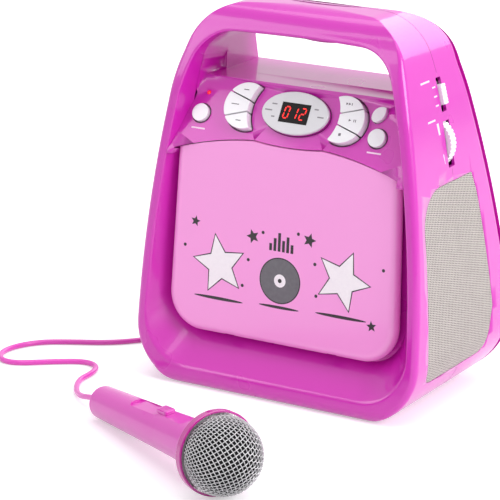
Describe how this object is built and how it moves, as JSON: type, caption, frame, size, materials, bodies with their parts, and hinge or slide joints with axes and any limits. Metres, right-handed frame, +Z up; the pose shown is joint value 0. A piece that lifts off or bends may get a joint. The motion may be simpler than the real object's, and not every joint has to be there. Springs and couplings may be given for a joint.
{
  "type": "karaoke machine",
  "caption": "Portable karaoke machine with a carrying handle, front disc door, sloping key panel with display, side speakers and a wired hand microphone",
  "frame": {"origin": "on the floor under the middle of the cabinet, 56 mm behind its front edge", "axes": "+X to the right seen from the front, +Y to the back, +Z up"},
  "size_m": [0.3333, 0.4033, 0.2701],
  "materials": {
    "shell": "hot magenta moulded plastic, glossy",
    "door": "light pink moulded plastic with a soft sheen",
    "grille": "warm light grey, with slots",
    "key_white": "white, glossy",
    "display_cover": "light grey clear plastic",
    "black_plastic": "black moulded plastic",
    "deck_grey": "dark grey moulded plastic",
    "circuit_board": "green board",
    "steel": "plain steel",
    "chrome": "bright plated",
    "lamp_red": "clear red lamp",
    "lens_glass": "coated lens",
    "cone_paper": "black cone with a foam surround",
    "mesh": "woven steel mesh",
    "mic_pink": "pink moulded plastic",
    "lead_pink": "glossy pink flexible sheath",
    "foot_rubber": "black rubber"
  },
  "bodies": {
    "cabinet": {"ac_inlet": "black_plastic", "battery_box": "black_plastic", "battery_contacts": "chrome", "coil_tie": "black_plastic", "control_board": "circuit_board", "cord_coil": "lead_pink", "damper_bushes": "foot_rubber", "deck_screws": "steel", "disc_deck": "deck_grey", "display_cover": "display_cover", "display_module": "black_plastic", "door_hinge_pins": "steel", "drive_chassis": "steel", "front_shell": "shell", "indicator_leds": "lamp_red", "main_board": "circuit_board", "mic_cord": "lead_pink", "mic_jacks": "black_plastic", "mic_plug": "black_plastic", "plug_cord": "lead_pink", "rear_shell": "shell", "rubber_feet": "foot_rubber", "shell_screws": "steel", "side_board": "circuit_board", "side_controls": "black_plastic", "sled_motor": "steel", "sled_rods": "steel", "speaker_cone_left": "cone_paper", "speaker_cone_right": "cone_paper", "speaker_frame_left": "steel", "speaker_frame_right": "steel", "speaker_grille_left": "grille", "speaker_grille_right": "grille", "spindle_motor": "steel", "tact_switches": "black_plastic", "transformer": "steel", "usb_port": "chrome"},
    "door": {"disc_door": "door"},
    "battery_door": {"battery_cover": "shell"},
    "turntable": {"turntable": "deck_grey"},
    "sled": {"laser_sled": "deck_grey", "laser_lens": "lens_glass"},
    "gear": {"sled_gear": "deck_grey"},
    "volume": {"volume_wheel": "key_white"},
    "function": {"function_slider": "key_white"},
    "microphone": {"mic_handle": "mic_pink", "mic_ring": "shell", "mic_ball": "mesh", "mic_capsule": "black_plastic", "mic_strain_relief": "lead_pink"},
    "talk_switch": {"mic_switch": "mic_pink"},
    "eject_key_body": {"eject_key": "key_white"},
    "mode_key_body": {"mode_key": "key_white"},
    "program_key_body": {"program_key": "key_white"},
    "skip_back_key_body": {"skip_back_key": "key_white"},
    "play_key_body": {"play_key": "key_white"},
    "stop_key_body": {"stop_key": "key_white"},
    "power_key_body": {"power_key": "key_white"},
    "memory_key_body": {"memory_key": "key_white"},
    "intro_key_body": {"intro_key": "key_white"}
  },
  "joints": [
    {"name": "door_hinge", "type": "hinge", "parent": "cabinet", "child": "door", "pos_m": [0, -0.03737, 0.0439], "axis": [1, 0, 0], "range_deg": [0, 55]},
    {"name": "battery_cover_hinge", "type": "hinge", "parent": "cabinet", "child": "battery_door", "pos_m": [0, 0.08645, 0.04165], "axis": [-1, 0, 0], "range_deg": [0, 60]},
    {"name": "turntable_spin", "type": "hinge", "parent": "cabinet", "child": "turntable", "pos_m": [0, -0.01962, 0.1062], "axis": [0, -0.9969, 0.0785], "continuous": true},
    {"name": "sled_slide", "type": "slide", "parent": "cabinet", "child": "sled", "axis": [0, 0.0785, 0.9969], "range_m": [-0.015, 0.015]},
    {"name": "sled_gear_spin", "type": "hinge", "parent": "cabinet", "child": "gear", "pos_m": [0.0335, -0.00715, 0.0671], "axis": [0, -0.9969, 0.0785], "range_deg": [-150, 150]},
    {"name": "volume_turn", "type": "hinge", "parent": "cabinet", "child": "volume", "pos_m": [0.08352, 0.017, 0.182], "axis": [0, 1, 0], "range_deg": [-150, 150]},
    {"name": "function_slide", "type": "slide", "parent": "cabinet", "child": "function", "axis": [-0.2413, 0, 0.9704], "range_m": [-0.004, 0.004]},
    {"name": "microphone_lift", "type": "slide", "parent": "cabinet", "child": "microphone", "axis": [0, 0, 1], "range_m": [0, 0.07]},
    {"name": "talk_switch_slide", "type": "slide", "parent": "microphone", "child": "talk_switch", "axis": [-0.8729, 0.4767, -0.1041], "range_m": [0, 0.005]},
    {"name": "eject_press", "type": "slide", "parent": "cabinet", "child": "eject_key_body", "axis": [0, 0.8572, -0.515], "range_m": [0, 0.0006], "stiffness_N_per_m": 600, "springref_m": -0.0003},
    {"name": "mode_press", "type": "slide", "parent": "cabinet", "child": "mode_key_body", "axis": [0, 0.8572, -0.515], "range_m": [0, 0.0006], "stiffness_N_per_m": 600, "springref_m": -0.0003},
    {"name": "program_press", "type": "slide", "parent": "cabinet", "child": "program_key_body", "axis": [0, 0.8572, -0.515], "range_m": [0, 0.0006], "stiffness_N_per_m": 600, "springref_m": -0.0003},
    {"name": "skip_back_press", "type": "slide", "parent": "cabinet", "child": "skip_back_key_body", "axis": [0, 0.8572, -0.515], "range_m": [0, 0.0006], "stiffness_N_per_m": 600, "springref_m": -0.0003},
    {"name": "play_press", "type": "slide", "parent": "cabinet", "child": "play_key_body", "axis": [0, 0.8572, -0.515], "range_m": [0, 0.0006], "stiffness_N_per_m": 600, "springref_m": -0.0003},
    {"name": "stop_press", "type": "slide", "parent": "cabinet", "child": "stop_key_body", "axis": [0, 0.8572, -0.515], "range_m": [0, 0.0006], "stiffness_N_per_m": 600, "springref_m": -0.0003},
    {"name": "power_press", "type": "slide", "parent": "cabinet", "child": "power_key_body", "axis": [0, 0.8572, -0.515], "range_m": [0, 0.0006], "stiffness_N_per_m": 600, "springref_m": -0.0003},
    {"name": "memory_press", "type": "slide", "parent": "cabinet", "child": "memory_key_body", "axis": [0, 0.8572, -0.515], "range_m": [0, 0.0006], "stiffness_N_per_m": 600, "springref_m": -0.0003},
    {"name": "intro_press", "type": "slide", "parent": "cabinet", "child": "intro_key_body", "axis": [0, 0.8572, -0.515], "range_m": [0, 0.0006], "stiffness_N_per_m": 600, "springref_m": -0.0003}
  ],
  "couplings": [
    {"joint": "sled_gear_spin", "follows": "sled_slide", "rad_per_m": -166.67}
  ]
}
